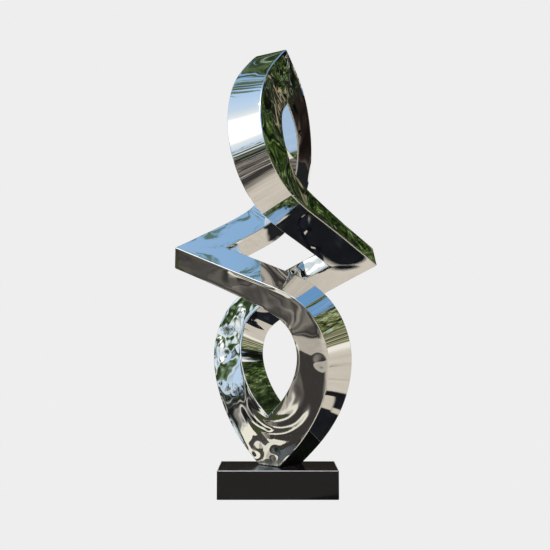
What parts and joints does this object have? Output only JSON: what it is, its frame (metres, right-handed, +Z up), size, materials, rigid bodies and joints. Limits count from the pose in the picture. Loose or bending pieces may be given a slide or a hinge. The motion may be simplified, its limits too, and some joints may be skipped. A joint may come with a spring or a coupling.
{
  "type": "abstract sculpture",
  "caption": "Closed mirror-polished steel band that folds round a square with a pointed loop above and below, standing on a black granite block.",
  "frame": {"origin": "middle of the plinth's underside", "axes": "+Z up, the front at -Y, +X to the viewer's right along the plinth's long side"},
  "size_m": [0.3479, 0.3818, 0.7579],
  "materials": {
    "mirror_steel": "mirror polish, hand ground, faintly wavy",
    "black_granite": "polished"
  },
  "bodies": {
    "root": {"steel_band": "mirror_steel", "plinth": "black_granite"}
  },
  "joints": []
}
